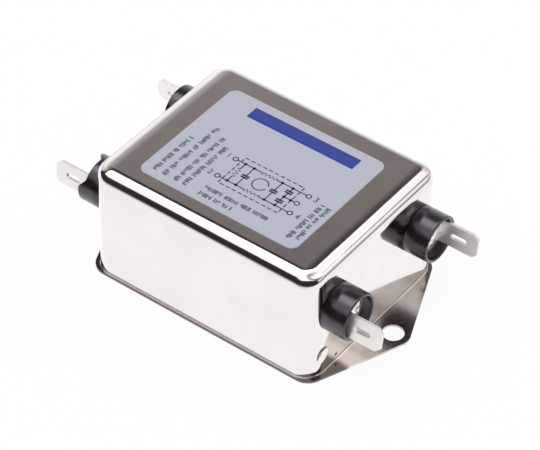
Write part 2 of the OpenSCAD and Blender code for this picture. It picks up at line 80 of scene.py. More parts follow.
class Value:
    """One output of a shader node, on which Python's own arithmetic adds Math nodes."""

    def __init__(self, shader, socket):
        self.shader = shader
        self.socket = socket

    def math(self, operation, *values):
        return self.shader.node("ShaderNodeMath", dict(enumerate(values)), operation=operation)

    def __add__(self, other):
        return self.math("ADD", self, other)

    def __sub__(self, other):
        return self.math("SUBTRACT", self, other)

    def __rsub__(self, other):
        return self.math("SUBTRACT", other, self)

    def __mul__(self, other):
        return self.math("MULTIPLY", self, other)

    def __truediv__(self, other):
        return self.math("DIVIDE", self, other)

    def __rtruediv__(self, other):
        return self.math("DIVIDE", other, self)

    def __abs__(self):
        return self.math("ABSOLUTE", self)

    __radd__ = __add__
    __rmul__ = __mul__

    def most(self, other):
        return self.math("MAXIMUM", self, other)

    def repeat(self, length):
        """Distance from the middle of the nearest of stripes that are length apart."""
        return abs(self.math("WRAP", self, length / 2, -length / 2))

    def fade(self, low, high):
        """Rises smoothly from 0 at low to 1 at high, or falls where low is above high."""
        if low > high:
            return 1 - self.fade(high, low)
        return self.shader.node("ShaderNodeMapRange", {"Value": self, "From Min": low, "From Max": high},
                                interpolation_type="SMOOTHSTEP")


def rgb(colour):
    """A colour of three numbers as the four that a socket takes."""
    return (*colour[:3], 1.0)


class Shader:
    """Builds a node tree: of a finish, of the world, or of a Geometry Nodes rule."""

    def __init__(self, owner):
        if isinstance(owner, bpy.types.NodeTree):
            self.tree = owner
        else:
            owner.use_nodes = True
            self.tree = owner.node_tree
        self.tree.nodes.clear()

    def node(self, kind, inputs=None, out=0, stops=None, **settings):
        """Any node: its settings first, then the values or links of its sockets."""
        made = self.tree.nodes.new(kind)
        for name, value in settings.items():
            setattr(made, name, value)
        if stops:
            elements = made.color_ramp.elements
            elements[0].position, elements[0].color = stops[0][0], rgb(stops[0][1])
            elements[1].position, elements[1].color = stops[-1][0], rgb(stops[-1][1])
            for position, colour in stops[1:-1]:
                elements.new(position).color = rgb(colour)
        for key, value in (inputs or {}).items():
            if isinstance(value, Value):
                self.tree.links.new(value.socket, made.inputs[key])
            else:
                made.inputs[key].default_value = value
        if isinstance(out, tuple):
            return [Value(self, made.outputs[o]) for o in out]
        return Value(self, made.outputs[out]) if len(made.outputs) else None

    def place(self, stretch=(1, 1, 1), turn=(0, 0, 0)):
        """Object coordinates, in metres, stretched and turned."""
        here = self.node("ShaderNodeTexCoord", out="Object")
        if stretch == (1, 1, 1) and turn == (0, 0, 0):
            return here
        return self.node("ShaderNodeMapping", {"Vector": here, "Scale": stretch, "Rotation": turn})

    def axes(self, vector=None):
        return self.node("ShaderNodeSeparateXYZ", {0: vector or self.place()}, out=(0, 1, 2))

    def noise(self, size, detail=2.0, rough=0.5, stretch=(1, 1, 1), turn=(0, 0, 0)):
        """Noise from 0 to 1 whose blobs are about size metres across."""
        return self.node("ShaderNodeTexNoise", {"Vector": self.place(stretch, turn), "Scale": 1 / size,
                                                "Detail": detail, "Roughness": rough}, out="Fac")

    def cells(self, size):
        """Distance from the middles of round cells that are about size metres across."""
        return self.node("ShaderNodeTexVoronoi", {"Vector": self.place(), "Scale": 1 / size}, out="Distance",
                         feature="SMOOTH_F1")

    def mix(self, factor, a, b):
        """Colour a where the factor is 0 and b where it is 1."""
        a = a if isinstance(a, Value) else rgb(a)
        b = b if isinstance(b, Value) else rgb(b)
        return self.node("ShaderNodeMix", {0: factor, 6: a, 7: b}, out=2, data_type="RGBA")

    def bump(self, height):
        """Normal of a surface whose relief is height metres."""
        return self.node("ShaderNodeBump", {"Height": height, "Strength": 1.0, "Distance": 1.0}, out="Normal")

    def principled(self, **sockets):
        """A finish from named sockets, with words joined by underscores."""
        inputs = {name.replace("_", " ").title().replace("Ior", "IOR"): value for name, value in sockets.items()}
        for name, value in inputs.items():
            if name.endswith("Color") or name.endswith("Tint"):
                inputs[name] = value if isinstance(value, Value) else rgb(value)
        surface = self.node("ShaderNodeBsdfPrincipled", inputs)
        self.node("ShaderNodeOutputMaterial", {"Surface": surface})
        return surface


def shade(colour, share):
    """A colour made darker or lighter by a share."""
    return tuple(channel * share for channel in colour)


# ---------------------------------------------------------------- finishes


# The can's top falls away at both ends, by this many metres for each square metre beyond its flat middle
TOP_FLAT_X = 26.9 * MM
TOP_FALL = 36.0


def flange_stains_and_reflection(s, tone, rough):
    """Tone and roughness of the flange: random stains, a painted reflection of the near bushing that makes the ear
    darker at its near side, and a painted lighter reflection beside that.
    """
    y, z = s.axes()[1:]
    foot = z.fade(0.75 * MM, 0.62 * MM)  # 1 on the flange, and 0 on the walls over it
    stain = s.noise(0.012, 3.0, 0.55).fade(0.3, 0.7)
    spread = y + (s.noise(0.005, 2.0) - 0.5) * (6 * MM)
    # Painted reflection: the ear goes lighter beyond 9.5 mm towards the near side, then darker beyond 14 mm, where it
    # would mirror the near black bushing
    bright, painted_bushing_reflection = spread.fade(-9.5 * MM, -12.5 * MM), spread.fade(-14 * MM, -17 * MM)
    stained_and_reflected = s.mix(stain, (0.34, 0.305, 0.285), (0.54, 0.50, 0.475))
    stained_and_reflected = s.mix(bright, stained_and_reflected, (0.68, 0.62, 0.58))
    stained_and_reflected = s.mix(painted_bushing_reflection, stained_and_reflected, (0.14, 0.118, 0.108))
    return s.mix(foot, tone, stained_and_reflected), rough + foot * 0.09


def sheet_steel(s, colour, gloss, wave, drawn=1.0, flange=False):
    """Bright plated sheet: faint clouds, drawing lines up the walls, and long low waves."""
    cloud = s.noise(0.011, 3.0, 0.55)
    grain = s.noise(0.00045, 2.0)
    lines = s.noise(0.0006, 3.0, 0.6, stretch=(1, 1, 0.03))
    rub = s.noise(0.004, 4.0, 0.65, stretch=(0.25, 1, 1), turn=(0, 0, 0.5)).fade(0.62, 0.8)
    waves = s.noise(0.019, 1.0, 0.4) * (1.1e-4 * wave) + s.noise(0.006, 1.0, 0.4) * (1.4e-5 * wave)
    x, z = s.axes()[::2]
    beyond = (abs(x) - TOP_FLAT_X).most(0.0)
    crown = beyond * beyond * -TOP_FALL * z.fade(30.6 * MM, 31.5 * MM)
    relief = waves + crown + lines * (5e-7 * drawn) + grain * 2.5e-7
    tone = s.mix(cloud.fade(0.3, 0.7), shade(colour, 0.965), shade(colour, 1.01))
    tone = s.mix(rub * 0.5, tone, shade(colour, 0.93))
    rough = gloss + (cloud - 0.5) * 0.04 + (grain - 0.5) * 0.02 + rub * 0.05
    if flange:
        tone, rough = flange_stains_and_reflection(s, tone, rough)
    s.principled(base_color=tone, metallic=1.0, roughness=rough.most(0.03), normal=s.bump(relief))


def case_steel(s, looks):
    sheet_steel(s, looks.steel_colour, 0.085, 1.0, flange=True)


def cover_steel(s, looks):
    sheet_steel(s, shade(looks.steel_colour, 0.93), 0.24, 0.7, 2.0)


def label_film(s, looks):
    """Silver film under a matt clear coat, with a very fine sparkle."""
    fleck = s.noise(0.00016, 2.0, 0.7)
    cloud = s.noise(0.009, 2.0)
    tone = s.mix(fleck.fade(0.35, 0.7), shade(looks.label_colour, 0.965), shade(looks.label_colour, 1.03))
    tone = s.mix(cloud.fade(0.35, 0.7) * 0.35, tone, shade(looks.label_colour, 0.97))
    relief = fleck * 4e-7 + cloud * 2e-6
    s.principled(base_color=tone, roughness=0.42 + (fleck - 0.5) * 0.1, specular_ior_level=0.3,
                 normal=s.bump(relief))


def ink(s, colour):
    """Screen-printed ink: nearly even, a little thinner where the film's grain shows through."""
    thin = s.noise(0.00022, 2.0, 0.7).fade(0.45, 0.85)
    s.principled(base_color=s.mix(thin * 0.14, colour, (0.4, 0.42, 0.48)), roughness=0.5 + thin * 0.1,
                 specular_ior_level=0.25, normal=s.bump(thin * -6e-7))


def black_moulding(s, looks):
    """Glossy black thermoset with faint flow clouds and fine dust."""
    cloud = s.noise(0.0035, 3.0, 0.6)
    grain = s.noise(0.00025, 2.0)
    speck = s.noise(0.0005, 1.0).fade(0.76, 0.82)
    tone = s.mix(cloud.fade(0.35, 0.75), looks.moulding_colour, shade(looks.moulding_colour, 1.5))
    tone = s.mix(speck * 0.35, tone, (0.12, 0.115, 0.11))
    relief = cloud * 3e-6 + grain * 4e-7
    s.principled(base_color=tone, roughness=0.19 + cloud * 0.07 + speck * 0.15, ior=1.65,
                 specular_tint=(0.95, 0.88, 1.0), normal=s.bump(relief))


def tin(s, colour, rough, metal=1.0):
    """Tin-plated strip: satin, with fine rolling lines and a few faint handling marks."""
    lines = s.noise(0.00035, 3.0, 0.6, stretch=(0.06, 1, 1))
    cloud = s.noise(0.0021, 3.0, 0.6)
    scratch = s.noise(0.0012, 2.0, 0.5, stretch=(0.12, 1, 1), turn=(0, 0.7, 0.35)).fade(0.66, 0.72)
    tone = s.mix(cloud.fade(0.3, 0.75), shade(colour, 0.95), shade(colour, 1.02))
    tone = s.mix(scratch * 0.2, tone, shade(colour, 0.85))
    height = lines * 5e-7 + cloud * 2e-6 - scratch * 4e-7
    s.principled(base_color=tone, metallic=metal, roughness=rough + (cloud - 0.5) * 0.08 + scratch * 0.04,
                 normal=s.bump(height))


def tinned_brass(s, looks):
    tin(s, looks.tin_colour, 0.4, 0.75)


def rivet_metal(s, looks):
    tin(s, shade(looks.tin_colour, 0.94), 0.3)


def solder(s, looks):
    """Bright solder that froze in small wrinkles."""
    wrinkle = s.noise(0.0011, 4.0, 0.6)
    skin = s.noise(0.0003, 3.0)
    tone = s.mix(wrinkle.fade(0.35, 0.7), (0.84, 0.83, 0.82), (0.99, 0.98, 0.97))
    s.principled(base_color=tone, metallic=0.8, roughness=0.24 + skin * 0.14,
                 normal=s.bump(wrinkle * 6e-5 + skin * 5e-6))


def fibre_board(s, colour, size=0.0004):
    """Pressed fibre or card: matt, with short fibres lying both ways."""
    one = s.noise(size, 3.0, 0.6, stretch=(0.15, 1, 1), turn=(0, 0, 0.6))
    two = s.noise(size, 3.0, 0.6, stretch=(1, 0.15, 1), turn=(0.4, 0, 0))
    cloud = s.noise(0.006, 3.0)
    fibre = (one * 0.5 + two * 0.5).fade(0.36, 0.66)
    tone = s.mix(fibre, shade(colour, 0.82), shade(colour, 1.1))
    tone = s.mix(cloud.fade(0.35, 0.75) * 0.3, tone, shade(colour, 0.78))
    s.principled(base_color=tone, roughness=0.78 + fibre * 0.12, normal=s.bump(fibre * 9e-6))


def washer_board(s, looks):
    fibre_board(s, (0.66, 0.60, 0.47))


def liner_card(s, looks):
    fibre_board(s, (0.60, 0.47, 0.27))


def divider_board(s, looks):
    fibre_board(s, (0.74, 0.71, 0.60), 0.0003)


def potting(s, looks):
    """Black casting compound, glossy and slightly rippled, with small bubbles."""
    ripple = s.noise(0.007, 2.0)
    bubble = s.cells(0.0017).fade(0.34, 0.16)
    sparse = s.noise(0.005, 1.0).fade(0.55, 0.62)
    pit = bubble * sparse
    tone = s.mix(s.noise(0.002, 3.0).fade(0.3, 0.8), (0.012, 0.011, 0.011), (0.03, 0.028, 0.027))
    s.principled(base_color=s.mix(pit * 0.4, tone, (0.09, 0.085, 0.08)), roughness=0.2 + ripple * 0.15,
                 normal=s.bump(ripple * 6e-5 - pit * 8e-5))


def board_laminate(s, looks):
    """Glass laminate under green resist, with the weave just showing."""
    x, y = s.axes()[:2]
    pitch = 0.0011
    weave = x.repeat(pitch) * y.repeat(pitch) * (1 / pitch ** 2 * 4)
    cloud = s.noise(0.004, 3.0)
    tone = s.mix(weave.fade(0.0, 1.0), (0.020, 0.115, 0.045), (0.040, 0.175, 0.070))
    tone = s.mix(cloud.fade(0.4, 0.8) * 0.3, tone, (0.015, 0.09, 0.05))
    s.principled(base_color=tone, roughness=0.3 + cloud * 0.15, normal=s.bump(weave * 8e-6))


def core_ferrite(s, looks):
    """Grey ferrite with an open grain and chipped spots."""
    grain = s.noise(0.0002, 4.0, 0.7)
    chip = s.noise(0.0016, 3.0, 0.7).fade(0.63, 0.7)
    tone = s.mix(grain.fade(0.3, 0.7), (0.030, 0.030, 0.034), (0.085, 0.085, 0.09))
    s.principled(base_color=s.mix(chip, tone, (0.13, 0.13, 0.135)), roughness=0.62 - grain * 0.15,
                 normal=s.bump(grain * 1.4e-5 - chip * 3e-5))


def winding_copper(s, looks):
    """Enamelled copper wire: a clear amber lacquer over the metal."""
    cloud = s.noise(0.002, 3.0)
    line = s.noise(0.0003, 2.0, 0.5, stretch=(1, 1, 0.2))
    tone = s.mix(cloud.fade(0.3, 0.75), (0.62, 0.21, 0.075), (0.80, 0.33, 0.13))
    s.principled(base_color=tone, metallic=1.0, roughness=0.22 + line * 0.1, coat_weight=0.8,
                 normal=s.bump(line * 2e-6 + cloud * 5e-6))


def bare_copper(s, looks):
    cloud = s.noise(0.0012, 3.0)
    tone = s.mix(cloud.fade(0.3, 0.75), (0.72, 0.34, 0.20), (0.90, 0.50, 0.32))
    s.principled(base_color=tone, metallic=1.0, roughness=0.25 + cloud * 0.12, normal=s.bump(cloud * 4e-6))


def film_capacitor(s, looks):
    """Spark-eroded texture of a moulded yellow case."""
    colour = (0.72, 0.50, 0.06)
    grit = s.noise(0.0007, 3.0, 0.6)
    cloud = s.noise(0.005, 2.0)
    tone = s.mix(grit.fade(0.3, 0.7), shade(colour, 0.9), shade(colour, 1.06))
    tone = s.mix(cloud.fade(0.35, 0.8) * 0.25, tone, shade(colour, 0.85))
    s.principled(base_color=tone, roughness=0.42 + grit * 0.16, normal=s.bump(grit * 9e-6))


def disc_capacitor(s, looks):
    """Dipped lacquer with an orange-peel skin."""
    peel = s.noise(0.0011, 2.0)
    tone = s.mix(s.noise(0.003, 3.0).fade(0.3, 0.75), (0.035, 0.14, 0.34), (0.06, 0.20, 0.44))
    s.principled(base_color=tone, roughness=0.28 + peel * 0.12, coat_weight=0.4, normal=s.bump(peel * 3e-5))


def resistor_body(s, looks):
    """Tan lacquer with colour bands round the body, and tinned ends and leads outside it."""
    x = s.axes()[0]
    skin = s.noise(0.0009, 2.0)
    tone = s.mix(skin.fade(0.3, 0.75), (0.50, 0.37, 0.20), (0.62, 0.48, 0.28))
    bands = [(-2.6, (0.10, 0.04, 0.02)), (-1.2, (0.02, 0.02, 0.02)), (0.2, (0.02, 0.22, 0.05)),
             (2.5, (0.55, 0.38, 0.10))]
    for at, colour in bands:
        tone = s.mix(abs(x - at * MM).fade(0.42 * MM, 0.34 * MM), tone, colour)
    body_end, edge = 4.0 * MM, 0.03 * MM
    bare = abs(x).fade(body_end - edge, body_end + edge)
    s.principled(base_color=s.mix(bare, tone, (0.80, 0.79, 0.77)), metallic=bare, roughness=0.3 + skin * 0.15,
                 normal=s.bump(skin * 1.5e-5))


def wire_insulation(s, looks):
    """Soft red insulation, slightly rubbed."""
    rub = s.noise(0.0014, 3.0, 0.6)
    tone = s.mix(rub.fade(0.35, 0.75), (0.42, 0.016, 0.012), (0.56, 0.035, 0.025))
    s.principled(base_color=tone, roughness=0.36 + rub * 0.18, normal=s.bump(rub * 7e-6))


FINISHES = [case_steel, cover_steel, label_film, black_moulding, tinned_brass, rivet_metal, solder, washer_board,
            liner_card, potting, board_laminate, core_ferrite, winding_copper, divider_board, film_capacitor,
            disc_capacitor, resistor_body, wire_insulation, bare_copper]


def finish(recipe, looks):
    """The material of a recipe, made once."""
    made = bpy.data.materials.get("look_" + recipe.__name__)
    if made is None:
        made = bpy.data.materials.new("look_" + recipe.__name__)
        recipe(Shader(made), looks)
    return made


def inks(looks):
    """The two print colours of the label."""
    made = []
    for name, colour in (("blue", looks.ink_blue), ("black", looks.ink_black)):
        material = bpy.data.materials.new("look_ink_" + name)
        ink(Shader(material), colour)
        made.append(material)
    return made


def dress(looks, *names):
    """Gives CAD nodes their finishes, by the record's slots that they came with."""
    recipes = {recipe.__name__: recipe for recipe in FINISHES}
    for name in names:
        for held in NODES[name].material_slots:
            word = held.material.name.split(".")[0]
            held.material = finish(recipes[word], looks)


# ---------------------------------------------------------------- meshes


def mend(mesh, doubles=0.0, outwards=True):
    """Merges a mesh's points that lie within doubles of each other, and turns its faces outwards."""
    work = bmesh.new()
    work.from_mesh(mesh)
    if doubles:
        bmesh.ops.remove_doubles(work, verts=work.verts, dist=doubles)
    if outwards:
        bmesh.ops.recalc_face_normals(work, faces=work.faces)
    work.to_mesh(mesh)
    work.free()


def settle(thing, replaces=()):
    """Links a finished object, rides it on the body and hides the nodes it stands for."""
    bpy.context.scene.collection.objects.link(thing)
    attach(thing, "root")
    if replaces:
        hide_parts(*replaces)
    return thing


def new_rule(name, sockets):
    """An empty Geometry Nodes rule with its sockets: the builder and the values that come in."""
    tree = bpy.data.node_groups.new(name, "GeometryNodeTree")
    tree.is_modifier = True
    s = Shader(tree)
    tree.interface.new_socket("Geometry", in_out="INPUT", socket_type="NodeSocketGeometry")
    for word, kind, about in [*sockets, ("Finish", "Material", "Material of the result")]:
        tree.interface.new_socket(word, in_out="INPUT", socket_type="NodeSocket" + kind).description = about
    tree.interface.new_socket("Geometry", in_out="OUTPUT", socket_type="NodeSocketGeometry")
    words = ["Geometry", *(socket[0] for socket in sockets), "Finish"]
    return s, dict(zip(words, s.node("NodeGroupInput", out=tuple(words))))


def end_rule(s, result, finish_in):
    """Makes a rule's result real and gives it its material."""
    real = s.node("GeometryNodeRealizeInstances", {"Geometry": result})
    done = s.node("GeometryNodeSetMaterial", {"Geometry": real, "Material": finish_in})
    s.node("NodeGroupOutput", {0: done})
    return s.tree


def wire_rule(name, flat):
    """Sweeps a round wire, or a flat stroke, along the edges it is given."""
    s, given = new_rule(name, [("Width", "Float", "Width of the stroke, or diameter of the wire"),
                               ("Height", "Float", "Height of the stroke")])
    path = s.node("GeometryNodeMeshToCurve", {"Mesh": given["Geometry"]})
    if flat:
        outline = s.node("GeometryNodeCurvePrimitiveQuadrilateral",
                         {"Width": given["Width"], "Height": given["Height"]})
    else:
        outline = s.node("GeometryNodeCurvePrimitiveCircle", {"Resolution": 14, "Radius": given["Width"] * 0.5})
    swept = s.node("GeometryNodeCurveToMesh", {"Curve": path, "Profile Curve": outline, "Fill Caps": True})
    if not flat:
        swept = s.node("GeometryNodeSetShadeSmooth", {"Geometry": swept})
    return end_rule(s, swept, given["Finish"])


def turned_rule():
    """Turns a closed outline round the Z axis and lowers part of its rim."""
    s, given = new_rule("Turned bushing", [
        ("Radius", "Float", "Distance from the axis to the outline's own origin"),
        ("Mouth", "Float", "Height of the rim"), ("Depth", "Float", "Depth of the low part of the rim"),
        ("Centre", "Float", "Direction of the low part's middle"),
        ("Reach", "Float", "Angle from the middle to the low part's end"),
        ("Slope", "Float", "Angle over which the rim comes down")])
    outline = s.node("GeometryNodeMeshToCurve", {"Mesh": given["Geometry"]})
    circle = s.node("GeometryNodeCurvePrimitiveCircle", {"Resolution": 128, "Radius": given["Radius"]})
    body = s.node("GeometryNodeCurveToMesh", {"Curve": circle, "Profile Curve": outline})
    x, y, z = s.axes(s.node("GeometryNodeInputPosition"))
    away = (y.math("ARCTAN2", y, x) - given["Centre"]).repeat(2 * math.pi)
    low = s.node("ShaderNodeMapRange", {"Value": away, "From Min": given["Reach"] - given["Slope"],
                                        "From Max": given["Reach"], "To Min": 1.0, "To Max": 0.0},
                 interpolation_type="SMOOTHSTEP")
    # The rim comes down whole, and the wall under it less and less
    still, whole = -4.0 * MM, -0.4 * MM
    rise = s.node("ShaderNodeMapRange", {"Value": z - given["Mouth"], "From Min": still, "From Max": whole})
    down = s.node("ShaderNodeCombineXYZ", {2: low * rise * given["Depth"] * -1.0})
    body = s.node("GeometryNodeSetPosition", {"Geometry": body, "Offset": down})
    body = s.node("GeometryNodeSetShadeSmooth", {"Geometry": body})
    return end_rule(s, body, given["Finish"])


def bake(name, thing, tree, inputs):
    """Runs a tree on an object and returns a plain object that holds the result."""
    modifier = thing.modifiers.new("Nodes", "NODES")
    modifier.node_group = tree
    for item in tree.interface.items_tree:
        if item.in_out == "INPUT" and item.name in inputs:
            modifier[item.identifier] = inputs[item.name]
    return evaluated(name, thing)


def evaluated(name, thing):
    """A plain mesh object that takes the place of a thing, as its modifiers or its text shape it."""
    bpy.context.scene.collection.objects.link(thing)
    bpy.context.view_layer.update()
    graph = bpy.context.evaluated_depsgraph_get()
    mesh = bpy.data.meshes.new_from_object(thing.evaluated_get(graph), depsgraph=graph)
    bpy.data.objects.remove(thing)
    mesh.name = name
    return bpy.data.objects.new(name, mesh)


def paths(name, runs):
    """An object of loose edges: each run is a list of points, closed where its last point is its first."""
    vertices, edges = [], []
    for run in runs:
        closed = run[0] == run[-1]
        points = run[:-1] if closed else run
        first = len(vertices)
        vertices += points
        edges += [(first + k, first + k + 1) for k in range(len(points) - 1)]
        if closed:
            edges.append((first + len(points) - 1, first))
    mesh = bpy.data.meshes.new(name)
    mesh.from_pydata(vertices, edges, [])
    return bpy.data.objects.new(name, mesh)


def merge(name, things):
    """Joins plain objects that sit at the origin into one."""
    work = bmesh.new()
    materials = []
    for thing in things:
        first = len(work.faces)
        work.from_mesh(thing.data)
        work.faces.ensure_lookup_table()
        here = list(thing.data.materials)
        for m in here:
            if m not in materials:
                materials.append(m)
        for face in work.faces[first:]:
            face.material_index = materials.index(here[face.material_index])
        bpy.data.objects.remove(thing)
    mesh = bpy.data.meshes.new(name)
    work.to_mesh(mesh)
    work.free()
    for m in materials:
        mesh.materials.append(m)
    return bpy.data.objects.new(name, mesh)


# ---------------------------------------------------------------- label print


def arc(x, y, radius, first, step, count):
    """Points round a centre, from one angle on by equal steps in degrees."""
    angles = [math.radians(first + step * k) for k in range(count)]
    return [(x + radius * math.cos(a), y + radius * math.sin(a)) for a in angles]


def ring(x, y, radius, steps=28, start=0.0, turn=360.0):
    """A circle, or the part of one, that closes on its own first point where it goes all the way round."""
    points = [(x + radius * math.cos(math.radians(start + turn * k / steps)),
               y + radius * math.sin(math.radians(start + turn * k / steps))) for k in range(steps + 1)]
    if turn == 360.0:
        points[-1] = points[0]
    return points


def zigzag(start, end, reach, teeth):
    """A resistor's or a coil's teeth between two points."""
    a, b = Vector(start), Vector(end)
    along = (b - a) / (2 * teeth)
    across = Vector((-along.y, along.x)).normalized() * reach
    points = [a] + [a + along * (k + 0.5) + across * (1 if k % 2 else -1) for k in range(2 * teeth)] + [b]
    return [tuple(p) for p in points]


def dashes(start, end, length, gap):
    """Dashes between two points, with the gap stretched so that a whole number of them fits."""
    a, b = Vector(start), Vector(end)
    count = max(1, round((b - a).length / (length + gap)))
    step = (b - a) / count
    share = length / (length + gap)
    return [[tuple(a + step * k), tuple(a + step * (k + share))] for k in range(count)]


def diagram():
    """Strokes of the circuit drawing, in millimetres on the label: thin runs, thick runs and dots."""
    top, low, middle = -2.45, -9.55, -6.0
    left, cap, mid, far = -4.0, -1.5, 6.6, 9.6
    half_gap, half_plate = 0.33, 1.0
    thin = [ring(x, y, 0.62) for x, y in ((-6.9, top), (-6.75, low), (14.0, top), (13.25, middle), (13.9, low))]
    thin += [[(-6.28, top), (left, top), (cap, top), (0.75, top)], [(5.0, top), (mid, top), (far, top), (13.38, top)],
             [(-6.13, low), (left, low), (cap, low), (0.75, low)], [(5.0, low), (mid, low), (far, low), (13.28, low)],
             zigzag((0.75, top), (5.0, top), 0.42, 4), zigzag((0.75, low), (5.0, low), 0.42, 4),
             [(left, top), (left, -4.4)], zigzag((left, -4.4), (left, -7.6), 0.55, 3), [(left, -7.6), (left, low)],
             [(far, middle), (12.63, middle)]]
    gaps = [(cap, top, low, middle), (mid, top, low, middle), (far, top, middle, -4.1), (far, middle, low, -7.8)]
    thick = []
    for x, above, below, at in gaps:
        thin += [[(x, above), (x, at + half_gap)], [(x, at - half_gap), (x, below)]]
        thick += [[(x - half_plate, y), (x + half_plate, y)] for y in (at + half_gap, at - half_gap)]
    thin.append(ring(2.85, middle, 1.95, 30, 14.0, 332.0))
    box = [(-5.3, -0.75), (11.6, -0.75), (11.6, -11.25), (-5.3, -11.25)]
    for k in range(4):
        thin += dashes(box[k], box[(k + 1) % 4], 1.15, 0.6)
    dots = [(left, top), (cap, top), (left, low), (cap, low), (mid, top), (far, top), (mid, low), (far, low),
            (far, middle), (11.5, middle)]
    return thin, thick, dots


def tick_rows():
    """Rows of plain upright ticks in short groups, in millimetres on the label."""
    rows = [((-19.5, -16.6), (-19.5, -2.5)), ((-16.6, -16.6), (-16.6, 3.7)), ((-13.4, -16.6), (-13.4, 1.8)),
            ((-10.9, -16.6), (-10.9, -0.7)), ((-6.4, -14.4), (11.5, -14.4)), ((-6.4, -16.8), (2.7, -16.8)),
            ((18.4, -16.2), (18.4, -2.7)), ((20.3, -15.3), (20.3, -3.1))]
    chance = random.Random(7)
    ticks = []
    for start, end in rows:
        a, b = Vector(start), Vector(end)
        along = (b - a).normalized()
        up = Vector((-along.y, along.x))
        at, left = 0.0, chance.randint(4, 9)
        while at < (b - a).length:
            if left:
                tall, low = chance.choice((0.55, 0.75, 0.75)), chance.choice((-0.55, -0.55, -0.1))
                spot = a + along * at
                ticks.append([tuple(spot + up * low), tuple(spot + up * tall)])
                left, at = left - 1, at + chance.choice((0.45, 0.6))
            else:
                left, at = chance.randint(3, 9), at + 0.7
    return ticks


def label_print(looks):
    """The circuit drawing, a plain blue bar and plain numbers, as thin ink on the label's film."""
    blue, black = inks(looks)
    z = LABEL_TOP + looks.ink_height / 2
    tree = wire_rule("Printed stroke", True)
    thin, thick, dots = diagram()
    thin_line, thick_line, bar_width, dot_radius, digit_height = 0.3, 0.52, 3.85, 0.42, 2.4

    def lift(runs):
        return [[(x * MM, y * MM, z) for x, y in run] for run in runs]

    things = []
    bar = [[(-14.15, 13.08), (16.3, 13.08)]]
    for name, runs, width, colour in (("thin", thin, thin_line, black), ("thick", thick, thick_line, black),
                                      ("rows", tick_rows(), thin_line, black), ("bar", bar, bar_width, blue)):
        inputs = {"Width": width * MM, "Height": looks.ink_height, "Finish": colour}
        things.append(bake(name, paths(name, lift(runs)), tree, inputs))
    for x, y in dots:
        things.append(disc(x, y, dot_radius, looks.ink_height, black))
    for digit, x, y in (("1", -8.9, -3.1), ("2", -8.9, -10.2), ("3", 16.1, -3.15), ("4", 16.0, -10.3)):
        things.append(number(digit, x, y, digit_height, looks.ink_height, black))
    return settle(merge("label_print", things))


def disc(x, y, radius, height, material):
    """One round dot of ink on the label."""
    work = bmesh.new()
    place = Matrix.Translation((x * MM, y * MM, LABEL_TOP + height / 2))
    bmesh.ops.create_cone(work, cap_ends=True, segments=20, radius1=radius * MM, radius2=radius * MM,
                          depth=height, matrix=place)
    mesh = bpy.data.meshes.new("dot")
    work.to_mesh(mesh)
    work.free()
    mesh.materials.append(material)
    return bpy.data.objects.new("dot", mesh)


def number(text, x, y, size, height, material):
    """One plain number, flat on the label, as a mesh."""
    curve = bpy.data.curves.new("number", "FONT")
    curve.body, curve.size, curve.extrude = text, size * MM, height / 2
    curve.align_x = "CENTER"
    made = evaluated("number", bpy.data.objects.new("number", curve))
    made.data.transform(Matrix.Translation((x * MM, y * MM, LABEL_TOP + height / 2)))
    mend(made.data, 1e-7, outwards=False)
    made.data.materials.clear()
    made.data.materials.append(material)
    return made


# ---------------------------------------------------------------- terminals


def bushing_outline():
    """Outline of a bushing, as distances along and from its axis in millimetres."""
    lip, chamfer, corner = 0.352, 0.22, 0.3
    levels = [34.5 + 0.4 * k for k in range(9)]
    points = [(WALL_X, BORE_R), (WALL_X, NECK_R), (FACE_X, NECK_R), (FACE_X, BUSHING_R - chamfer),
              (FACE_X + chamfer, BUSHING_R)]
    points += [(x, BUSHING_R) for x in levels]
    points += arc(MOUTH_X - lip, BUSHING_R - lip, lip, 90, -15, 7) + arc(MOUTH_X - lip, CUP_R + lip, lip, 0, -15, 7)
    points += [(x, CUP_R) for x in reversed(levels)]
    return points + [(FLOOR_X + corner, CUP_R), (FLOOR_X + 0.1, CUP_R - 0.1), (FLOOR_X, CUP_R - corner),
                     (FLOOR_X, BORE_R)]


def bushing(looks, index, tree):
    """One bushing turned from its outline, in place of the plain one."""
    end, side = TERMINALS[index]
    centre, reach, slope, depth = LOW_RIMS[index]
    radius = BUSHING_R * MM
    outline = [(r * MM - radius, -x * MM, 0.0) for x, r in bushing_outline()]
    inputs = {"Radius": radius, "Mouth": MOUTH_X * MM, "Depth": depth * MM, "Centre": math.radians(centre),
              "Reach": math.radians(reach), "Slope": math.radians(slope), "Finish": finish(black_moulding, looks)}
    made = bake(f"bushing_{index + 1}", paths("outline", [outline + outline[:1]]), tree, inputs)
    place = Matrix(((0, 0, end, 0), (1, 0, 0, side * TERM_Y), (0, 1, 0, TERM_Z), (0, 0, 0, 1)))
    made.data.transform(place)
    mend(made.data)
    made.data.set_sharp_from_angle(angle=math.radians(50))
    return settle(made, [f"terminal_bushing_{index + 1}"])


def eased(name, node, width, material):
    """A copy of a CAD node with its sharp edges eased, in its place."""
    held = NODES[node]
    flat, sharp_from = math.radians(1), math.radians(35)
    work = bmesh.new()
    work.from_mesh(held.data)
    work.transform(held.matrix_world)
    bmesh.ops.remove_doubles(work, verts=work.verts, dist=1e-6)
    bmesh.ops.dissolve_limit(work, angle_limit=flat, verts=work.verts, edges=work.edges)
    sharp = [edge for edge in work.edges if edge.is_manifold and edge.calc_face_angle(0.0) > sharp_from]
    bmesh.ops.bevel(work, geom=sharp, offset=width, segments=2, profile=0.6, affect="EDGES", clamp_overlap=True)
    bmesh.ops.recalc_face_normals(work, faces=work.faces)
    mesh = bpy.data.meshes.new(name)
    work.to_mesh(mesh)
    work.free()
    mesh.polygons.foreach_set("use_smooth", [False] * len(mesh.polygons))
    mesh.materials.append(material)
    return settle(bpy.data.objects.new(name, mesh), [node])


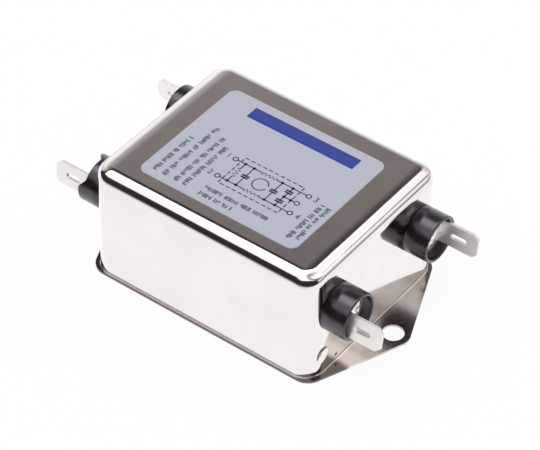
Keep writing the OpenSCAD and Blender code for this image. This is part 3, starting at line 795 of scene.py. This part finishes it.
def solder_pool(index):
    """Crumpled top of the solder in one cup, closed below at the cup's floor."""
    end, side = TERMINALS[index]
    rings, spokes = 44, 132
    radius, floor, foot = 5.16 * MM, 34.12 * MM, 34.95 * MM
    cover, mound_height, mound_up, mound_spread = 0.9, 0.9, 1.0, 9.0
    crumple_height, fine_height = 0.26, 0.14
    vertices, faces = [], []
    for k in range(rings + 1):
        r = radius * k / rings
        for j in range(spokes):
            a = 2 * math.pi * j / spokes
            y, z = r * math.cos(a), r * math.sin(a)
            seed = Vector((y / MM, z / MM, 7.3 * index))
            crumple = noise.ridged_multi_fractal(seed * 0.34, 0.9, 2.1, 4, 0.9, 2.0)
            rise = crumple_height * crumple + fine_height * noise.noise(seed * 1.7)
            edge = max(0.0, 1 - (r / radius) ** 6)
            mound = mound_height * math.exp(-((y / MM) ** 2 + (z / MM - mound_up) ** 2) / mound_spread)
            x = foot + (cover + mound + rise * edge) * MM
            vertices.append((end * x, side * TERM_Y + y, TERM_Z + z))
    for k in range(rings):
        for j in range(spokes):
            a, b = k * spokes + j, k * spokes + (j + 1) % spokes
            faces.append((a, b, b + spokes, a + spokes))
    last = rings * spokes
    first = len(vertices)
    for j in range(spokes):
        x, y, z = vertices[last + j]
        vertices.append((end * floor, y, z))
    for j in range(spokes):
        k = (j + 1) % spokes
        faces.append((last + j, last + k, first + k, first + j))
    faces.append(tuple(range(first, first + spokes)))
    return vertices, faces


def joined_piece(name, parts, material, replaces):
    """One smooth piece from several closed shells, with its doubles merged."""
    vertices, faces = [], []
    for part_vertices, part_faces in parts:
        first = len(vertices)
        vertices += part_vertices
        faces += [tuple(first + k for k in face) for face in part_faces]
    mesh = bpy.data.meshes.new(name)
    mesh.from_pydata(vertices, [], faces)
    mend(mesh, 1e-8)
    mesh.polygons.foreach_set("use_smooth", [True] * len(mesh.polygons))
    mesh.materials.append(material)
    return settle(bpy.data.objects.new(name, mesh), replaces)


# ---------------------------------------------------------------- choke


def coil_path(which):
    """One layer of round wire turned round its part of the ring core, with two leads."""
    inner, outer, low, high, foot = 5.85, 12.15, 7.25, 20.55, 5.0
    turns, sweep, bend, last_bend, bend_points = 11, 138.0, 1.1, 0.6, 6
    first = 90 + 180 * which - sweep / 2
    loop = []
    for r, z, angle in ((inner + bend, high - bend, 90), (inner + bend, low + bend, 180),
                        (outer - bend, low + bend, 270), (outer - bend, high - bend, 0)):
        loop += arc(r, z, bend, angle, 18, bend_points)
    # The wire comes up its first lead, so the loop starts where it leaves the lower outer corner
    start = 3 * bend_points - 1
    loop = loop[start:] + loop[:start]
    steps = turns * len(loop) - bend_points
    run = [(outer, foot, 0.0)] + [(*loop[k % len(loop)], k / steps) for k in range(steps + 1)]
    run += [(r, z, 1.0) for r, z in arc(outer - last_bend, low - last_bend, last_bend, 67.5, -22.5, 4)]
    run.append((outer, foot, 1.0))
    points = []
    for r, z, share in run:
        a = math.radians(first + sweep * share)
        points.append((r * math.cos(a) * MM, r * math.sin(a) * MM, z * MM))
    return points


def coil(looks, which, tree):
    """One winding of the choke, in place of the plain one."""
    made = bake(f"choke_coil_{which + 1}", paths("coil", [coil_path(which)]), tree,
                {"Width": looks.wire_diameter, "Finish": finish(winding_copper, looks)})
    return settle(made, [f"choke_winding_{which + 1}"])


# ---------------------------------------------------------------- stage


def set_camera():
    """Camera at the picture's own place: azimuth, height, roll and distance that match its edges."""
    azimuth, height, roll = (math.radians(a) for a in (36.012, 42.773, 1.337))
    back = Vector((math.sin(azimuth) * math.cos(height), -math.cos(azimuth) * math.cos(height), math.sin(height)))
    right = Vector((math.cos(azimuth), math.sin(azimuth), 0.0))
    up = back.cross(right)
    level, rise = right * math.cos(roll) + up * math.sin(roll), up * math.cos(roll) - right * math.sin(roll)
    data = bpy.data.cameras.new("camera")
    data.sensor_fit, data.sensor_width = "HORIZONTAL", SENSOR
    data.lens = FOCAL_PIXELS / PICTURE[0] * SENSOR
    data.clip_start, data.clip_end = 0.01, 20.0
    camera = bpy.data.objects.new("camera", data)
    sideways, upwards, away = 1.448, 9.740, 647.26
    spot = (level * sideways + rise * upwards + back * away) * MM
    camera.matrix_world = Matrix.Translation(spot) @ Matrix((level, rise, back)).transposed().to_4x4()
    bpy.context.scene.collection.objects.link(camera)
    bpy.context.scene.camera = camera


def set_world(level):
    """White to the camera, an even soft light to matt surfaces, and a studio to shiny ones."""
    world = bpy.data.worlds.new("studio")
    bpy.context.scene.world = world
    world.cycles.sampling_method = "NONE"
    s = Shader(world)
    way = s.node("ShaderNodeTexCoord", out="Generated")
    x, y, z = s.axes(s.node("ShaderNodeVectorMath", {0: way}, operation="NORMALIZE"))
    over = z.most(0.02)
    along, across = (x + y) / over * 0.7071, (y - x) / over * 0.7071

    # The panel's edges, as slopes away from straight overhead, and how softly each of them ends
    near, far, right, left, soft, crisp = -1.6, 1.92, -1.35, 0.53, 0.11, 0.05
    panel = (along.fade(near - soft, near + soft) * along.fade(far + soft, far - soft)
             * across.fade(right - soft, right + soft) * across.fade(left + crisp, left - crisp) * z.fade(0.0, 0.05))

    def tones(stops):
        """A wall's colour from its foot upwards: height, brightness and tint of each stop."""
        return s.node("ShaderNodeValToRGB", {0: z}, stops=[(p, shade(tint, v)) for p, v, tint in stops])

    white, brown = (1.0, 1.0, 1.0), (1.0, 0.91, 0.88)
    back_left = tones([(0.24, 1.2, white), (0.45, 0.75, white), (0.63, 0.34, brown), (0.70, 0.2, brown),
                       (0.75, 0.06, brown)])
    back_right = tones([(0.04, 0.9, white), (0.07, 0.1, brown), (0.13, 0.1, brown), (0.20, 1.1, white),
                        (0.30, 0.8, white), (0.45, 0.75, white), (0.62, 1.3, brown)])
    front = tones([(0.0, 0.03, brown), (0.45, 0.05, brown), (0.8, 0.2, brown)])
    back = s.mix(x.fade(-0.12, 0.12), back_left, back_right)
    room = s.mix(y.fade(-0.15, 0.1), front, back)

    # The panel is brightest towards -X, plainer towards +X with one dim part, and even towards -Y
    bright = s.mix(x.fade(-0.12, 0.2), (4.0, 3.9, 4.1), (1.4, 1.4, 1.4))
    bright = s.mix(x.fade(0.0, 0.3) * across.fade(0.1, -0.25), bright, (0.3, 0.27, 0.25))
    bright = s.mix(y.fade(-0.12, -0.36), bright, (1.5, 1.46, 1.43))
    studio = s.mix(panel, room, bright)
    camera, glossy, through = s.node("ShaderNodeLightPath",
                                     out=("Is Camera Ray", "Is Glossy Ray", "Is Transmission Ray"))
    seen = s.mix(glossy, (level, level, level), studio)
    seen = s.mix(camera.most(through), seen, (1.0, 1.0, 1.0))
    light = s.node("ShaderNodeBackground", {"Color": seen, "Strength": 1.0})
    s.node("ShaderNodeOutputWorld", {"Surface": light})


def floor_finish(s):
    """White paper that keeps a soft shadow, and that shiny metal sees fade out towards the camera."""
    y = s.axes()[1]
    camera, glossy, through = s.node("ShaderNodeLightPath",
                                     out=("Is Camera Ray", "Is Glossy Ray", "Is Transmission Ray"))
    under = s.node("ShaderNodeNewGeometry", out="Backfacing")
    paper = s.node("ShaderNodeBsdfDiffuse", {"Color": rgb((0.93, 0.93, 0.93))})
    # Brightness at places along Y in millimetres
    span, places = 250, ((-213, 0.03), (-125, 0.12), (-84, 0.7), (-60, 1.0))
    near = s.node("ShaderNodeValToRGB", {0: (y + span * MM) / (span * MM)},
                  stops=[(p / span + 1, (v, v, v)) for p, v in places])
    glow = s.node("ShaderNodeEmission", {"Color": rgb((1, 1, 1)), "Strength": 1.0})
    mirrored = s.node("ShaderNodeEmission", {"Color": near, "Strength": 1.29})
    seen = s.node("ShaderNodeMixShader", {0: camera.most(through) * 0.94, 1: paper, 2: glow})
    seen = s.node("ShaderNodeMixShader", {0: glossy, 1: seen, 2: mirrored})
    clear = s.node("ShaderNodeBsdfTransparent")
    s.node("ShaderNodeOutputMaterial", {"Surface": s.node("ShaderNodeMixShader", {0: under, 1: seen, 2: clear})})


def set_floor():
    """A wide sheet of white paper just under the part."""
    mesh = bpy.data.meshes.new("floor")
    reach, drop = 3.0, -0.04 * MM
    mesh.from_pydata([(-reach, -reach, drop), (reach, -reach, drop), (reach, reach, drop), (-reach, reach, drop)],
                     [], [(0, 1, 2, 3)])
    material = bpy.data.materials.new("look_floor")
    floor_finish(Shader(material))
    mesh.materials.append(material)
    floor = bpy.data.objects.new("floor", mesh)
    bpy.context.scene.collection.objects.link(floor)


def set_lamp(strength):
    """One wide soft lamp from above, for matt surfaces and shadows."""
    data = bpy.data.lights.new("lamp", "SUN")
    data.energy, data.angle = strength, math.radians(60)
    lamp = bpy.data.objects.new("lamp", data)
    lamp.rotation_euler = (math.radians(14), math.radians(-10), 0.0)
    lamp.visible_glossy = False
    bpy.context.scene.collection.objects.link(lamp)


# ---------------------------------------------------------------- add-on


def colour_property(name, about, default):
    """A setting that holds one colour."""
    return FloatVectorProperty(name=name, description=about, default=default, subtype="COLOR", min=0.0, max=1.0)


class FilterLooks(bpy.types.PropertyGroup):
    """Colours and fine sizes of the filter."""

    steel_colour: colour_property("Steel", "Colour of the plated steel", (0.70, 0.668, 0.648))
    label_colour: colour_property("Label", "Colour of the label's silver film", (0.474, 0.503, 0.578))
    moulding_colour: colour_property("Moulding", "Colour of the black bushings", (0.009, 0.007, 0.009))
    tin_colour: colour_property("Tin", "Colour of the tinned tabs", (0.84, 0.81, 0.785))
    ink_blue: colour_property("Blue ink", "Colour of the bar on the label", (0.028, 0.050, 0.30))
    ink_black: colour_property("Black ink", "Colour of the drawing on the label", (0.028, 0.030, 0.040))
    ink_height: FloatProperty(name="Ink", description="Height of the print above the film", default=0.02 * MM,
                              min=0.0, unit="LENGTH")
    tab_edge: FloatProperty(name="Tab edge", description="Width of the tabs' eased edges", default=0.09 * MM,
                            min=0.0, unit="LENGTH")
    wire_diameter: FloatProperty(name="Wire", description="Diameter of the choke's wire", default=1.24 * MM,
                                 min=0.0, unit="LENGTH")


class FilterLight(bpy.types.PropertyGroup):
    """Light of the stage."""

    world_level: FloatProperty(name="World", description="Even light from all round on matt surfaces", default=0.55,
                               min=0.0)
    lamp_strength: FloatProperty(name="Lamp", description="Strength of the soft lamp above", default=1.45, min=0.0)


class FILTER_OT_stage(bpy.types.Operator):
    """Adds the floor, the light and the camera"""

    bl_idname = "filter_part.stage"
    bl_label = "Stage"

    def execute(self, context):
        light = context.scene.filter_light
        set_world(light.world_level)
        set_floor()
        set_lamp(light.lamp_strength)
        set_camera()
        context.scene.view_settings.view_transform = "Standard"
        return {"FINISHED"}


class FILTER_OT_case(bpy.types.Operator):
    """Finishes the drawn can and its bottom cover"""

    bl_idname = "filter_part.case"
    bl_label = "Case"

    def execute(self, context):
        dress(context.scene.filter_looks, "case_can", "bottom_cover")
        return {"FINISHED"}


class FILTER_OT_label(bpy.types.Operator):
    """Finishes the label and prints its drawing"""

    bl_idname = "filter_part.label"
    bl_label = "Label"

    def execute(self, context):
        looks = context.scene.filter_looks
        dress(looks, "label")
        label_print(looks)
        return {"FINISHED"}


class FILTER_OT_bushings(bpy.types.Operator):
    """Turns the four black bushings"""

    bl_idname = "filter_part.bushings"
    bl_label = "Bushings"

    def execute(self, context):
        tree = turned_rule()
        for k in range(4):
            bushing(context.scene.filter_looks, k, tree)
        return {"FINISHED"}


class FILTER_OT_tabs(bpy.types.Operator):
    """Finishes the tabs, rivets and washers, with the tabs' edges eased"""

    bl_idname = "filter_part.tabs"
    bl_label = "Tabs"

    def execute(self, context):
        looks = context.scene.filter_looks
        for k in range(1, 5):
            eased(f"tab_{k}", f"terminal_tab_{k}", looks.tab_edge, finish(tinned_brass, looks))
        dress(looks, "terminal_rivets", "inner_washers")
        return {"FINISHED"}


class FILTER_OT_solder(bpy.types.Operator):
    """Pours the solder into the four cups"""

    bl_idname = "filter_part.solder"
    bl_label = "Solder"

    def execute(self, context):
        joined_piece("solder_pools", [solder_pool(k) for k in range(4)], finish(solder, context.scene.filter_looks),
                     ["terminal_solder"])
        return {"FINISHED"}


class FILTER_OT_choke(bpy.types.Operator):
    """Winds the choke and finishes its core and divider"""

    bl_idname = "filter_part.choke"
    bl_label = "Choke"

    def execute(self, context):
        looks = context.scene.filter_looks
        tree = wire_rule("Round wire", False)
        for which in range(2):
            coil(looks, which, tree)
        dress(looks, "choke_core", "choke_divider")
        return {"FINISHED"}


class FILTER_OT_circuit(bpy.types.Operator):
    """Finishes the board, its components, the wires, the liner and the potting"""

    bl_idname = "filter_part.circuit"
    bl_label = "Circuit"

    def execute(self, context):
        looks = context.scene.filter_looks
        dress(looks, "circuit_board", "x_capacitor_1", "x_capacitor_2", "y_capacitor_1", "y_capacitor_2",
              "bleed_resistor", "earth_wire", "insulating_liner", "potting_compound")
        dress(looks, *(f"hookup_wire_{k}" for k in range(1, 5)))
        return {"FINISHED"}


OPERATORS = [FILTER_OT_stage, FILTER_OT_case, FILTER_OT_label, FILTER_OT_bushings, FILTER_OT_tabs, FILTER_OT_solder,
             FILTER_OT_choke, FILTER_OT_circuit]


class FILTER_PT_panel(bpy.types.Panel):
    """Lists the filter's settings and operators"""

    bl_label = "Interference filter"
    bl_space_type = "VIEW_3D"
    bl_region_type = "UI"
    bl_category = "Filter"

    def draw(self, context):
        for group in (context.scene.filter_looks, context.scene.filter_light):
            for name in group.__annotations__:
                self.layout.prop(group, name)
        for operator in OPERATORS:
            self.layout.operator(operator.bl_idname)


CLASSES = [FilterLooks, FilterLight, *OPERATORS, FILTER_PT_panel]


def register():
    for kind in CLASSES:
        bpy.utils.register_class(kind)
    bpy.types.Scene.filter_looks = PointerProperty(type=FilterLooks)
    bpy.types.Scene.filter_light = PointerProperty(type=FilterLight)


def unregister():
    del bpy.types.Scene.filter_light
    del bpy.types.Scene.filter_looks
    for kind in reversed(CLASSES):
        bpy.utils.unregister_class(kind)


def main():
    register()
    for operator in OPERATORS:
        group, name = operator.bl_idname.split(".")
        getattr(getattr(bpy.ops, group), name)()


if __name__ == "__main__":
    main()
